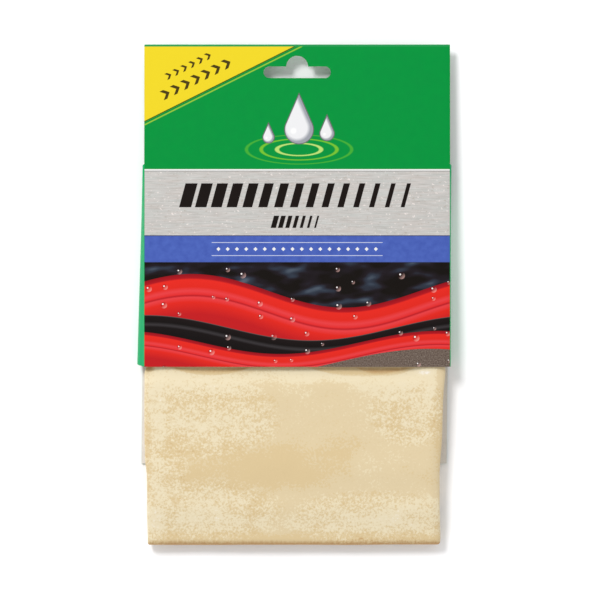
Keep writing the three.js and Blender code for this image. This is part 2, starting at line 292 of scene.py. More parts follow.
class Painter:
    """Builds one material: coordinates, noises and layers of colour over each other."""

    def __init__(self, name):
        self.material = bpy.data.materials.new(name)
        self.material.use_nodes = True
        self.tree = self.material.node_tree
        self.shader = self.tree.nodes["Principled BSDF"]
        place = self.tree.nodes.new("ShaderNodeTexCoord").outputs["Object"]
        x, y, z = split(self.tree, place)
        self.across = x / MM - CARD_MIDDLE
        self.distance = TOP_FOLD - y / MM
        self.height = z / MM
        self.colour = None

    def vector(self, x, y, z=0):
        node = self.tree.nodes.new("ShaderNodeCombineXYZ")
        for value, socket in zip((x, y, z), node.inputs):
            connect(self.tree, value, socket)
        return node.outputs[0]

    def noise(self, x, y, z=0, detail=2, roughness=0.5):
        """Noise from 0 to 1 with a grain of about 1. A plain number as z sets flat patterns apart."""
        node = self.tree.nodes.new("ShaderNodeTexNoise")
        self.tree.links.new(self.vector(x, y, z), node.inputs["Vector"])
        node.inputs["Scale"].default_value = 1
        node.inputs["Detail"].default_value = detail
        node.inputs["Roughness"].default_value = roughness
        return Term(self.tree, node.outputs["Fac"])

    def base(self, colour):
        node = self.tree.nodes.new("ShaderNodeRGB")
        node.outputs[0].default_value = surface(*colour)
        self.colour = Term(self.tree, node.outputs[0])

    def over(self, mask, colour):
        """Lays a colour, or another painted colour, over what is there where the mask is 1."""
        node = self.tree.nodes.new("ShaderNodeMix")
        node.data_type = "RGBA"
        factor, first, second = node.inputs[0], node.inputs[6], node.inputs[7]
        connect(self.tree, mask, factor)
        connect(self.tree, self.colour, first)
        connect(self.tree, colour if isinstance(colour, Term) else surface(*colour), second)
        self.colour = Term(self.tree, node.outputs[2])

    def gradient(self, factor, stops):
        """A colour that follows a number from 0 to 1 through the given (place, colour) stops."""
        node = self.tree.nodes.new("ShaderNodeValToRGB")
        elements = node.color_ramp.elements
        while len(elements) < len(stops):
            elements.new(0.5)
        for element, (place, colour) in zip(elements, stops):
            element.position = place
            element.color = surface(*colour)
        connect(self.tree, factor, node.inputs[0])
        return Term(self.tree, node.outputs[0])

    def bump(self, height, strength, distance_mm):
        node = self.tree.nodes.new("ShaderNodeBump")
        node.inputs["Strength"].default_value = strength
        node.inputs["Distance"].default_value = distance_mm * MM
        connect(self.tree, height, node.inputs["Height"])
        self.tree.links.new(node.outputs[0], self.shader.inputs["Normal"])

    def finish(self, roughness, specular, **others):
        """Gives the material, with its layers of colour linked to the shader."""
        connect(self.tree, self.colour, self.shader.inputs["Base Color"])
        connect(self.tree, roughness, self.shader.inputs["Roughness"])
        self.shader.inputs["Specular IOR Level"].default_value = specular
        for name, value in others.items():
            self.shader.inputs[name.replace("_", " ").title()].default_value = value
        return self.material


# Printed front of the card

# Inks, as they look in a picture
GREEN = (0, 150, 62)
YELLOW = (241, 216, 40)
SILVER = (202, 199, 195)
BLUE = (76, 100, 184)
BLACK = (26, 19, 16)
WHITE = (244, 244, 242)

# Where the bands of the printed front end, and how glossy the print is
FOLD_LINE = 1.0
HEADER_END = 60.1
KEYLINE = 0.75
KEYLINE_SHADE = 0.35
SILVER_END = 91.0
BLUE_END = 103.7
PRINT_GLOSS = 0.1


def lay_green(paint, pattern, shade_colour):
    """Green ink with a faint mottle."""
    paint.base(GREEN)
    mottle = paint.noise(paint.across / 4, paint.distance / 4, pattern, detail=3)
    paint.over(mottle.above(0.5, 0.4) * 0.5, shade_colour)


def brushed_streaks(paint):
    return paint.noise(paint.across / 9, paint.distance * 2.2, 3, detail=4, roughness=0.65)


def board_grain(paint, pattern):
    grain = paint.noise(paint.across * 2.4, paint.distance * 2.4, pattern, detail=4, roughness=0.6)
    paint.bump(grain, 0.12, 0.05)


def drop_shape(across, up, radius, height):
    """Signed size of a falling drop: under 0 inside. Its round part is centred on 0, 0."""
    lean = math.asin(radius / height)
    ball = length(across, up) - radius
    cone = abs(across) * math.cos(lean) + (up - height) * math.sin(lean)
    cone = cone.higher(radius * math.sin(lean) - up)
    return ball.lower(cone)


# Yellow corner: how far it reaches along the top fold and down the side, the width of the dark
# line inside its edge, and where the pinstripe outside starts and ends
CORNER_REACH = 74
CORNER_DROP = 37
CORNER_LINE = 0.45
PINSTRIPE = (0.9, 1.5)

# Rows of arrowheads: each one's middle line out from the corner's edge, half height, pitch, start
# and end
ARROW_ROWS = [(-7.4, 2.3, 5.4, 12.5, 50), (-14.6, 1.6, 4.2, 18.5, 43)]
ARROW_STROKE_SHARE = 0.42


def paint_corner(paint, x, d):
    """Yellow corner with a straight edge, a pinstripe beside it and rows of arrowheads."""
    slope = math.atan2(CORNER_DROP, CORNER_REACH)
    along = (x + HALF_CARD) * math.cos(slope) - (d - CORNER_DROP) * math.sin(slope)
    out = (x + HALF_CARD) * math.sin(slope) + (d - CORNER_DROP) * math.cos(slope)
    paint.over(out.between(*PINSTRIPE), (150, 200, 60))
    paint.over(out.below(0), YELLOW)
    paint.over(out.between(-CORNER_LINE, 0), (40, 84, 22))
    for middle, half, pitch, start, end in ARROW_ROWS:
        lift = out - middle
        place = (along + abs(lift)).wrapped(pitch)
        arrow = abs(place).below(half * ARROW_STROKE_SHARE)
        arrow = arrow * abs(lift).below(half)
        paint.over(arrow * along.between(start, end), (75, 62, 20))


# Rings on water, from the outermost: radius across, width of the line and its colour
RINGS = [(25, 1.5, (70, 175, 55)), (18, 1.7, (120, 195, 50)), (10.5, 2, (190, 225, 120))]
RINGS_MIDDLE = 0.9
RINGS_LEVEL = 50
RINGS_FLATTENING = math.sqrt(13)
RINGS_BLUR = 0.6

# Drops: the middle and the level of the round part, its radius, and the height of the tip over it
DROPS = [(0.9, 40.5, 6.6, 16.5), (-13.6, 44.2, 2.5, 6.2), (14.2, 42.4, 3.2, 8.2)]
DROP_OUTLINE = 0.45


def paint_drops(paint, x, d):
    """A large drop over rings on water, with a small drop on each side."""
    from_middle = length(x - RINGS_MIDDLE, (d - RINGS_LEVEL) * RINGS_FLATTENING)
    for radius, width, colour in RINGS:
        paint.over(abs(from_middle - radius).below(width / 2, RINGS_BLUR), colour)
    for middle, level, radius, height in DROPS:
        paint_drop(paint, x - middle, level - d, radius, height)


def paint_drop(paint, across, up, radius, height):
    """One drop: a grey outline, a white body, shade along its lower right side, and a glint."""
    lit_share = 0.86
    shape = drop_shape(across, up, radius, height)
    paint.over(shape.below(DROP_OUTLINE), (105, 105, 110))
    paint.over(shape.below(0), (240, 240, 242))
    lit_across, lit_up = across + radius * 0.16, up - radius * 0.12
    lit = drop_shape(lit_across, lit_up, radius * lit_share, height * lit_share)
    paint.over(shape.below(0) * lit.above(0, radius * 0.25), (160, 164, 172))
    glint = length(across + radius * 0.4, up + radius * 0.1)
    paint.over(glint.below(radius * 0.2, radius * 0.15), (255, 255, 255))


def paint_silver(paint, x, d):
    """Brushed silver: long fine streaks, faint tints, and a few bright and dark specks."""
    band = d.between(HEADER_END, SILVER_END)
    tints = paint.noise(x / 16, d * 0.7, 8)
    specks = paint.noise(x * 0.55, d * 0.8, 5, roughness=0.6)
    paint.over(band, paint.gradient(brushed_streaks(paint), [
        (0.28, (172, 167, 161)), (0.5, SILVER), (0.72, (224, 222, 219)),
    ]))
    paint.over(band * 0.3, paint.gradient(tints, [
        (0.3, (196, 204, 200)), (0.5, SILVER), (0.7, (212, 198, 190)),
    ]))
    paint.over(band * specks.above(0.66, 0.05), (238, 229, 224))
    paint.over(band * specks.below(0.34, 0.06) * 0.7, (182, 173, 162))


def paint_bars(paint, x, d, middle, row, half_height, half_width, pitch):
    """A row of slanted bars that get thinner from left to right."""
    slant, first_share, last_share = 0.27, 0.4, 0.12
    across = x - middle + (d - row) * slant
    place = (across + half_width) / (2 * half_width)
    thickness = lerp(first_share, last_share, place) * pitch
    bars = abs(across.wrapped(pitch)).below(thickness)
    inside = abs(across).below(half_width) * abs(d - row).below(half_height)
    paint.over(bars * inside, BLACK)


# Blue band: half the width of its dark edges, the diamonds' pitch and half size, half the length
# of their row, and how far from it the rules run, with half their width
BLUE_EDGE_HALF = 0.2
DIAMOND_PITCH = 4.4
DIAMOND_HALF = 0.95
DIAMOND_ROW_HALF = 40.6
BLUE_RULE_OFFSET = 3.1
BLUE_RULE_HALF = 0.16


def paint_blue(paint, x, d):
    """Blue band with dark edges, and a row of diamonds between two rules."""
    tone = paint.noise(x / 3, d / 3, 1)
    blue = paint.gradient(tone, [(0.3, (70, 93, 178)), (0.7, (80, 105, 190))])
    paint.over(d.between(SILVER_END, BLUE_END), blue)
    for edge in (SILVER_END, BLUE_END):
        paint.over(abs(d - edge).below(BLUE_EDGE_HALF), (58, 66, 110))
    from_row = d - (SILVER_END + BLUE_END) / 2
    reach = abs(x).below(DIAMOND_ROW_HALF)
    diamond = abs((x + DIAMOND_PITCH / 2).wrapped(DIAMOND_PITCH)) + abs(from_row)
    paint.over(diamond.below(DIAMOND_HALF) * reach, WHITE)
    rules = abs(abs(from_row) - BLUE_RULE_OFFSET).below(BLUE_RULE_HALF)
    paint.over(rules * reach, (205, 212, 235))


RED_RIBBON = [
    (0, (150, 16, 26)), (0.1, (176, 22, 32)), (0.14, (234, 44, 34)), (0.32, (228, 42, 32)),
    (0.42, (234, 66, 70)), (0.5, (230, 48, 48)), (0.54, (186, 28, 36)), (0.58, (234, 66, 70)),
    (0.7, (228, 42, 32)), (1, (196, 30, 34)),
]
BLACK_RIBBON = [
    (0, (92, 84, 84)), (0.06, (30, 22, 22)), (0.35, (22, 17, 16)), (0.5, (58, 54, 56)),
    (0.62, (26, 20, 20)), (1, (20, 16, 16)),
]

# Ribbons from the top down: how far below the blue band each one's wave runs, how high and how
# long the wave is, where it starts, the ribbon's depth and its tones
RIBBONS = [
    (13.5, 8, 23, 0.6, 19, RED_RIBBON),
    (31, 6, 25, 1.3, 9, BLACK_RIBBON),
    (38, 5.5, 24, 1.9, 12, RED_RIBBON),
]
GROUND_WAVE = (48, 7, 30, 2.6)


def wave(x, level, swing, stretch, start):
    return (x / stretch + start).sin() * swing + level


def paint_picture(paint, x, d):
    """Glossy ribbons in long waves between dark glass and gritty ground, with beads of water."""
    inside = d.above(BLUE_END)
    down = d - BLUE_END
    glass = paint.noise(x / 13 + d / 24, d / 5, 4, detail=1)
    paint.over(inside, paint.gradient(glass, [
        (0.42, (22, 17, 14)), (0.56, (34, 28, 34)), (0.68, (50, 58, 72)), (0.78, (86, 98, 112)),
    ]))
    for *shape, depth, tones in RIBBONS:
        edge = wave(x, *shape)
        share = ((down - edge) / depth).clamped()
        paint.over(inside * down.above(edge), paint.gradient(share, tones))
    grit = paint.noise(x * 1.6, d * 1.6, 2, detail=3, roughness=0.7)
    paint.over(inside * down.above(wave(x, *GROUND_WAVE)), paint.gradient(grit, [
        (0.3, (74, 60, 52)), (0.5, (112, 96, 86)), (0.62, (128, 116, 106)), (0.75, (158, 148, 140)),
    ]))
    paint_beads(paint, x, d, inside)


def paint_beads(paint, x, d, inside):
    """Water beads scattered at random, each with a dark side, a lit side and a glint."""
    pitch, radius, empty_share = 7.5, 1.7, 0.72
    node = paint.tree.nodes.new("ShaderNodeTexVoronoi")
    node.voronoi_dimensions = "2D"
    node.inputs["Scale"].default_value = 1
    node.inputs["Randomness"].default_value = 0.7
    paint.tree.links.new(paint.vector(x / pitch, d / pitch), node.inputs["Vector"])
    centre_across, centre_down = split(paint.tree, node.outputs["Position"])[:2]
    chance, chosen_size = split(paint.tree, node.outputs["Color"])[:2]
    across = x - centre_across * pitch
    down = d - centre_down * pitch
    size = (chosen_size * 0.5 + 0.5) * radius
    chosen = inside * chance.above(empty_share, 0.01)
    bead = chosen * length(across, down).below(size)
    side = (across + down) / size
    paint.over(bead * side.below(-0.2, 1.6) * 0.4, (50, 10, 14))
    paint.over(bead * side.above(0.5, 1.6) * 0.4, (250, 200, 192))
    glint = length(across + size * 0.35, down + size * 0.35)
    paint.over(bead * glint.below(size * 0.26), (255, 250, 248))


def rub_corners(paint, x, d):
    """Where the print has rubbed off at the card's four corners."""
    side = HALF_CARD - abs(x)
    end = d.lower(FRONT_LENGTH - d)
    wear = paint.noise(x * 1.3, d * 1.3, 6, detail=3)
    paint.over((side + end).below(wear * 1.6 - 0.4, 0.2) * 0.7, (226, 226, 222))


def front_print():
    """Green header, silver band with bars, blue band and glossy picture."""
    paint = Painter("printed_front")
    x, d = paint.across, paint.distance
    lay_green(paint, 0, (2, 143, 62))
    paint_corner(paint, x, d)
    paint_drops(paint, x, d)
    paint_silver(paint, x, d)
    paint.over(d.between(HEADER_END - KEYLINE, HEADER_END), WHITE)
    paint.over(d.between(HEADER_END, HEADER_END + KEYLINE_SHADE, 0.2), (150, 148, 146))
    paint_bars(paint, x, d, middle=0, row=71.8, half_height=5.7, half_width=55.35, pitch=7.38)
    paint_bars(paint, x, d, middle=-0.6, row=84.4, half_height=2.9, half_width=11.5, pitch=3.3)
    paint_blue(paint, x, d)
    paint_picture(paint, x, d)
    paint.over(d.below(FOLD_LINE, 0.3), (40, 152, 84))
    rub_corners(paint, x, d)
    board_grain(paint, 9)
    return paint.finish(paint.noise(x / 5, d / 5, 7) * 0.12 + 0.27, PRINT_GLOSS)


# The pale panel on the back: its half width, its start and end, the greatest height at which it
# is printed, and how far outside its edge a white border runs, with half the border's width
PANEL_HALF = 50
PANEL_START = 70
PANEL_END = 188
PANEL_HIGHEST = 5
PANEL_BORDER = 1.2
PANEL_BORDER_HALF = 0.35

# Three drops in rings inside the panel, between two rules
SYMBOL_PLACES = (-30, 0, 30)
SYMBOL_LEVEL = 128
SYMBOL_RING = 10.5
SYMBOL_RING_HALF = 0.5
SYMBOL_DROP = (3.6, 9)
SYMBOL_DROP_LEVEL = 130.5
RULE_LEVELS = (88, 168)
RULE_HALF_LENGTH = 42
RULE_HALF = 0.4


def paint_panel(paint, x, d):
    from_edge = (abs(x) - PANEL_HALF).higher(PANEL_START - d).higher(d - PANEL_END)
    low = paint.height.below(PANEL_HIGHEST, 0.5)
    pale = paint.gradient(brushed_streaks(paint), [(0.3, (212, 210, 208)), (0.7, (232, 230, 228))])
    paint.over(from_edge.below(0) * low, pale)
    paint.over(abs(from_edge - PANEL_BORDER).below(PANEL_BORDER_HALF) * low, WHITE)
    for place in SYMBOL_PLACES:
        ring = length(x - place, d - SYMBOL_LEVEL)
        paint.over(abs(ring - SYMBOL_RING).below(SYMBOL_RING_HALF) * low, BLUE)
        drop = drop_shape(x - place, SYMBOL_DROP_LEVEL - d, *SYMBOL_DROP)
        paint.over(drop.below(0) * low, BLUE)
    rule_reach = abs(x).below(RULE_HALF_LENGTH)
    for level in RULE_LEVELS:
        rule = abs(d - level).below(RULE_HALF) * rule_reach
        paint.over(rule * low, GREEN)


def back_print():
    """Green outside of the back panel and the tabs, with a pale panel and plain symbols."""
    paint = Painter("printed_back")
    x, d = paint.across, paint.distance
    lay_green(paint, paint.height, (6, 141, 66))
    # Painted sheen: a lighter, bluer green on the tabs' side walls, out past the card's width
    paint.over(abs(x).above(HALF_CARD, 0.3) * 0.5, (36, 192, 134))
    paint_panel(paint, x, d)
    board_grain(paint, paint.height)
    return paint.finish(0.36, PRINT_GLOSS)


# The board's other finishes, and the glue

def bare_board():
    """The unprinted side: off-white board with short fibres and soft grey clouds."""
    paint = Painter("bare_board")
    x, d, z = paint.across, paint.distance, paint.height
    paint.base((250, 246, 240))
    paint.over(paint.noise(x / 6, d / 6, z, detail=3).above(0.5, 0.5) * 0.5, (224, 220, 213))
    fibres = paint.noise(x * 3.5, d * 1.1, z, detail=3, roughness=0.7)
    paint.over(fibres.above(0.62, 0.1) * 0.4, (196, 190, 180))
    paint.bump(fibres, 0.25, 0.05)
    return paint.finish(0.85, 0.25)


def board_edge():
    """The cut edge: pale pulp with darker fibres."""
    paint = Painter("board_edge")
    pulp = paint.noise(paint.across * 2, paint.distance * 2, paint.height * 9, detail=3)
    paint.base((232, 230, 226))
    paint.over(pulp.above(0.5, 0.3) * 0.6, (204, 200, 193))
    paint.bump(pulp, 0.3, 0.05)
    return paint.finish(0.9, 0.2)


def glue_finish():
    """Hot-melt glue: creamy, with small waves."""
    paint = Painter("hot_melt_glue")
    waves = paint.noise(paint.across / 1.5, paint.distance / 1.5, paint.height)
    paint.base((232, 226, 204))
    paint.over(waves.above(0.5, 0.4) * 0.5, (214, 204, 172))
    paint.bump(waves, 0.4, 0.1)
    return paint.finish(waves * 0.2 + 0.4, 0.4)


# Shape of the card sleeve, and how finely its mesh is divided

ROUNDING_SAMPLES = 11
ARC_STEPS = 4
WALL_STEPS = 10
TAB_STEPS = 8
TAB_ROWS = 72
INNER_COLUMNS = 59
HEADER_ROWS = 26
TOP_FOLD_ROWS = 13
BACK_ROWS = 110
SLOT_ARC_POINTS = 20


def front_height(across, distance):
    """Height of the front board's middle. It bows up a little over the leather."""
    mouth = MOUTH_TOP - BOARD / 2 / math.cos(FRONT_TILT)
    straight = mouth - (FRONT_LENGTH - distance) * math.tan(FRONT_TILT)
    arch = 1 - (across / HALF_CARD) ** 2
    return straight + FRONT_BOW * arch * ramp(TAB_START, FRONT_LENGTH, distance)


def back_height(distance):
    """Height of the back board's middle: under the header, down the ramp, then flat."""
    def sharp(place):
        under_header = front_height(HALF_CARD, place) - LAYER_PITCH
        header_end = front_height(HALF_CARD, HEADER_LENGTH) - LAYER_PITCH
        share = (place - HEADER_LENGTH) / (RAMP_END - HEADER_LENGTH)
        sloping = lerp(header_end, BACK_MIDDLE, share)
        return np.where(share <= 0, under_header, np.where(share >= 1, BACK_MIDDLE, sloping))
    offsets = np.linspace(-CREASE_ROUNDING, CREASE_ROUNDING, ROUNDING_SAMPLES)
    return np.mean([sharp(distance + offset) for offset in offsets], axis=0)


def back_shift(distance):
    """How far the back panel lies to the side, which grows below the header."""
    return -BACK_SKEW * np.maximum(0, (distance - HEADER_LENGTH) / (BACK_LENGTH - HEADER_LENGTH))


def tab_section(side, distance):
    """A tab's middle line at one distance, outwards from the crease: across, height and reach."""
    bulge_share = np.clip((distance - TAB_START) / (FRONT_LENGTH - TAB_START), 0, 1)
    left_bulge = lerp(LEFT_BULGE_AT_HEADER, LEFT_BULGE_AT_MOUTH, bulge_share)
    bulge = left_bulge if side < 0 else RIGHT_BULGE
    edge = side * HALF_CARD
    top = front_height(edge, distance)
    bottom = back_height(distance) - LAYER_PITCH
    back_edge = edge + back_shift(distance) + side * TURN_RADIUS
    wall_top, wall_bottom = top - CREASE_RADIUS, bottom + TURN_RADIUS
    crease_reach = CREASE_RADIUS * math.pi / 2
    wall_reach = crease_reach + wall_top - wall_bottom
    quarter = shares(ARC_STEPS) * math.pi / 2
    points = []
    for turn in quarter:
        across = edge - side * CREASE_RADIUS * (1 - math.sin(turn))
        points.append((across, top - CREASE_RADIUS * (1 - math.cos(turn)), CREASE_RADIUS * turn))
    for share in shares(WALL_STEPS):
        across = lerp(edge, back_edge, share) + side * bulge * math.sin(math.pi * share)
        height = lerp(wall_top, wall_bottom, share)
        points.append((across, height, lerp(crease_reach, wall_reach, share)))
    for turn in quarter:
        across = back_edge - side * TURN_RADIUS * (1 - math.cos(turn))
        points.append((across, bottom + TURN_RADIUS * (1 - math.sin(turn)), wall_reach))
    for share in shares(TAB_STEPS):
        across = lerp(back_edge - side * TURN_RADIUS, back_edge - side * TAB_DEPTH, share)
        points.append((across, bottom, wall_reach + TAB_DEPTH * share))
    return points


def tab_row(side, share):
    """One row of a tab's points, from its slanted end at the mouth, 0, to the header's, 1."""
    near_mouth = tab_section(side, FRONT_LENGTH)
    near_header = tab_section(side, TAB_START)
    row = []
    for column, (mouth_point, header_point) in enumerate(zip(near_mouth, near_header)):
        start = FRONT_LENGTH - mouth_point[2] * TAB_MOUTH_SLANT
        end = TAB_START + header_point[2] * TAB_HEADER_SLANT
        distance = lerp(start, end, share)
        across, height, _ = tab_section(side, distance)[column]
        row.append((across, distance, height))
    return row


class RowMesh:
    """A surface made row by row, with a row of four-sided faces between each row and the next."""

    def __init__(self):
        self.points = []
        self.faces = []
        self.last_row = []

    def place(self, points):
        """Adds points without faces, and gives their numbers."""
        first = len(self.points)
        self.points.extend(to_frame(*point) for point in points)
        return list(range(first, len(self.points)))

    def add_row(self, points):
        last, new = self.last_row, self.place(points)
        for i in range(len(last) - 1):
            self.faces.append((last[i], last[i + 1], new[i + 1], new[i]))
        self.last_row = new


def add_front_and_tabs(mesh, inner):
    """Rows from the mouth to the tabs' other end. Then the header's first row leaves the tabs out."""
    for step in range(TAB_ROWS + 1):
        share = step / TAB_ROWS
        distance = lerp(FRONT_LENGTH, TAB_START, share)
        left, right = tab_row(-1, share), tab_row(1, share)
        front = [(across, distance, front_height(across, distance)) for across in inner]
        mesh.add_row([*left[::-1], *front, *right])
    edges = [(edge, TAB_START, front_height(edge, TAB_START)) for edge in (-HALF_CARD, HALF_CARD)]
    left_edge, right_edge = mesh.place(edges)
    mesh.last_row = [left_edge, *mesh.last_row[len(left):-len(right)], right_edge]


def header_rows():
    """Distance and height of each row over the header and round the top fold."""
    distances = np.linspace(TAB_START, FOLD_CENTRE, HEADER_ROWS)[1:-1]
    rows = [(distance, front_height(HALF_CARD, distance)) for distance in distances]
    fold_height = front_height(HALF_CARD, FOLD_CENTRE) - FOLD_RADIUS
    for turn in np.linspace(0, math.pi, TOP_FOLD_ROWS):
        distance = FOLD_CENTRE - FOLD_RADIUS * math.sin(turn)
        rows.append((distance, fold_height + FOLD_RADIUS * math.cos(turn)))
    return rows


def sleeve_surface():
    """The folded blank as one surface, in rows from the mouth over the top fold to the back's end."""
    mesh = RowMesh()
    inner_half = HALF_CARD - CREASE_RADIUS
    inner = np.linspace(-inner_half, inner_half, INNER_COLUMNS)
    add_front_and_tabs(mesh, inner)
    columns = np.array([-HALF_CARD, *inner, HALF_CARD])
    for distance, height in header_rows():
        mesh.add_row([(across, distance, height) for across in columns])
    for distance in lerp(FOLD_CENTRE, BACK_LENGTH, shares(BACK_ROWS)):
        height = float(back_height(distance))
        mesh.add_row([(across + back_shift(distance), distance, height) for across in columns])
    return mesh.points, mesh.faces


def slot_outline():
    """The hanging slot, anticlockwise from the bar's lower right: across and down from the fold."""
    end_radius, dome_radius = SLOT_BAR / 2, SLOT_DOME / 2
    end_centre = SLOT_WIDTH / 2 - end_radius
    dome_centre = SLOT_HEIGHT - dome_radius
    dome_start = math.asin((SLOT_BAR - dome_centre) / dome_radius)
    arcs = [
        (end_centre, end_radius, end_radius, -math.pi / 2, math.pi / 2),
        (0, dome_centre, dome_radius, dome_start, math.pi - dome_start),
        (-end_centre, end_radius, end_radius, math.pi / 2, 3 * math.pi / 2),
    ]
    outline = []
    for middle, level, radius, start, end in arcs:
        for turn in np.linspace(start, end, SLOT_ARC_POINTS):
            outline.append((middle + radius * math.cos(turn), level + radius * math.sin(turn)))
    return [(across, SLOT_TOP + SLOT_HEIGHT - up) for across, up in outline]


def cut_slot(piece, edge_slot):
    outline = slot_outline()
    count = len(outline)
    middle = front_height(HALF_CARD, SLOT_TOP + SLOT_HEIGHT / 2) - LAYER_PITCH / 2
    points = []
    for height in (middle - SLOT_CUT_DEPTH / 2, middle + SLOT_CUT_DEPTH / 2):
        points += [to_frame(across, distance, height) for across, distance in outline]
    faces = [(i, (i + 1) % count, count + (i + 1) % count, count + i) for i in range(count)]
    faces += [tuple(range(count))[::-1], tuple(range(count, 2 * count))]
    cutter = make_object("slot_cutter", points, faces, piece.data.materials)
    for face in cutter.data.polygons:
        face.material_index = edge_slot
    cut = piece.modifiers.new("slot", "BOOLEAN")
    cut.operation = "DIFFERENCE"
    cut.solver = "EXACT"
    cut.object = cutter
    apply_modifiers(piece)
    bpy.data.objects.remove(cutter)


def build_sleeve():
    materials = [front_print(), bare_board(), board_edge(), back_print()]
    front_slot, edge_slot, back_slot = 0, 2, 3
    piece = make_object("printed_card_sleeve", *sleeve_surface(), materials)
    thicken(piece, BOARD)
    for face in piece.data.polygons:
        across = abs(face.center.x / MM - CARD_MIDDLE)
        on_front = face.normal.z > 0.5 and across < HALF_CARD - PRINT_EDGE
        if face.material_index == front_slot and not on_front:
            face.material_index = back_slot
    cut_slot(piece, edge_slot)
    shade(piece, 40)
    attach(piece, "sleeve")
    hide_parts("card_sleeve")
    return piece


# Shape of the leather

# How far each leaf's sides lie from the middle, as shares of half the width, from the inner
# end (-1) over the sleeve's mouth (0) to the foot (1)
FRONT_LEAF_SIDES = [
    (-1, 1.01, 0.985), (0, 1.012, 0.99), (0.03, 1.024, 0.995), (0.18, 1.025, 0.98),
    (0.41, 1.024, 0.97), (0.52, 1.02, 0.96), (0.6, 1.008, 0.955), (0.77, 1.006, 0.956),
    (1, 1.003, 0.963),
]
MIDDLE_LEAF_SIDES = [(-1, 1, 0.975), (0, 1.004, 0.97), (0.5, 1.003, 0.957), (1, 0.997, 0.958)]
BACK_LEAF_SIDES = [(-1, 1.005, 0.98), (0, 1.01, 0.978), (0.5, 0.998, 0.953), (1, 0.996, 0.95)]

# How finely the leather's mesh is divided: rows along each leaf and round its two bends, and
# points across each panel and round its two folds
LEAF_ROWS = (98, 66, 60)
FOOT_BEND_ROWS = 14
INNER_BEND_ROWS = 10
OUTER_PANEL_POINTS = 44
FRONT_PANEL_POINTS = 88
TIGHT_FOLD_POINTS = 9
WIDE_FOLD_POINTS = 13


def sides_at(table, distance):
    """How far a leaf's left and right sides lie from the card's middle."""
    inside, outside = FRONT_LENGTH - LEATHER_INNER_END, LEATHER_FOOT - FRONT_LENGTH
    reach = np.where(distance < FRONT_LENGTH, inside, outside)
    place = np.clip((distance - FRONT_LENGTH) / reach, -1, 1)
    places, left, right = zip(*table)
    half = LEATHER_WIDTH / 2
    return -half * np.interp(place, places, left), half * np.interp(place, places, right)


def squeeze_at(distance):
    """The share of its free thickness that the sleeve leaves the stack."""
    return lerp(SQUEEZE, 1, ramp(LEATHER_INNER_END, FRONT_LENGTH, distance))


def leaf_height(distance, leaf):
    """Height of a leaf's middle. Leaf 0 lies at the back, and leaf 2 in front."""
    free = LEATHER_FOOT - BACK_LENGTH
    sag = FREE_END_SAG * ramp(BACK_LENGTH, BACK_LENGTH + free / 2, distance)
    if leaf > 0:
        back_leaf_end = LEATHER_FOOT - BACK_LEAF_SETBACK
        sag = sag + FOOT_SAG * ramp(back_leaf_end, LEATHER_FOOT - LEAF_PITCH, distance)
    return LEATHER_FLOOR + squeeze_at(distance) * (LEAF / 2 + leaf * LEAF_PITCH) - sag


def leaf_rows(leaf, table, start, end, count):
    """Rows along one leaf: distance, height, squeeze, and where the left and right sides are."""
    distance = np.linspace(start, end, count)
    left, right = sides_at(table, distance)
    height, squeeze = leaf_height(distance, leaf), squeeze_at(distance)
    return np.stack([distance, height, squeeze, left, right], axis=1)


def bend_rows(row, next_row, outward, count):
    """A half turn between two leaves: outward is 1 at the foot and -1 at the inner end."""
    radius = (row[1] - next_row[1]) / 2
    share = np.linspace(0, 1, count + 1)[1:-1]
    rows = lerp(row, next_row, share[:, None])
    rows[:, 0] = row[0] + outward * radius * np.sin(math.pi * share)
    rows[:, 1] = row[1] - radius * (1 - np.cos(math.pi * share))
    return rows


def leather_rows():
    """The skin's rows from the front leaf's raw end to the back leaf's."""
    foot_bend = LEATHER_FOOT - LEAF - LAYER_GAP / 2
    inner_bend = LEATHER_INNER_END + SQUEEZE * (LEAF + LAYER_GAP / 2)
    front_start = LEATHER_INNER_END + FRONT_LEAF_SETBACK
    back_end = LEATHER_FOOT - BACK_LEAF_SETBACK
    front_count, middle_count, back_count = LEAF_ROWS
    front = leaf_rows(2, FRONT_LEAF_SIDES, front_start, foot_bend, front_count)
    middle = leaf_rows(1, MIDDLE_LEAF_SIDES, foot_bend, inner_bend, middle_count)
    back = leaf_rows(0, BACK_LEAF_SIDES, inner_bend, back_end, back_count)
    at_foot = bend_rows(front[-1], middle[0], 1, FOOT_BEND_ROWS)
    at_inner_end = bend_rows(middle[-1], back[0], -1, INNER_BEND_ROWS)
    return np.concatenate([front, at_foot, middle, at_inner_end, back])


def across_points():
    """The skin folded in three across, as a middle line: share of the width, offset and lift."""
    pitch = SKIN + LAYER_GAP
    tight_reach, wide_reach = SKIN + LAYER_GAP / 2, LEAF / 2
    points = []

    def run(start, end, lift, count):
        for share in np.linspace(0, 1, count):
            points.append((*lerp(np.array(start), np.array(end), share), lift))

    def fold(side, reach, lift, radius, downwards, count):
        for step in np.linspace(0, 1, count)[1:-1]:
            turn = (math.pi / 2 - math.pi * step) * (1 if downwards else -1)
            offset = -side * (reach - radius * math.cos(turn))
            points.append(((side + 1) / 2, offset, lift + radius * math.sin(turn)))

    run((1, -INNER_PANEL_STEP), (0, tight_reach), 0, OUTER_PANEL_POINTS)
    fold(-1, tight_reach, pitch / 2, pitch / 2, False, TIGHT_FOLD_POINTS)
    run((0, tight_reach), (1, -wide_reach), pitch, FRONT_PANEL_POINTS)
    fold(1, wide_reach, 0, pitch, True, WIDE_FOLD_POINTS)
    run((1, -wide_reach), (0, RAW_EDGE_STEP), -pitch, OUTER_PANEL_POINTS)
    return np.array(points)


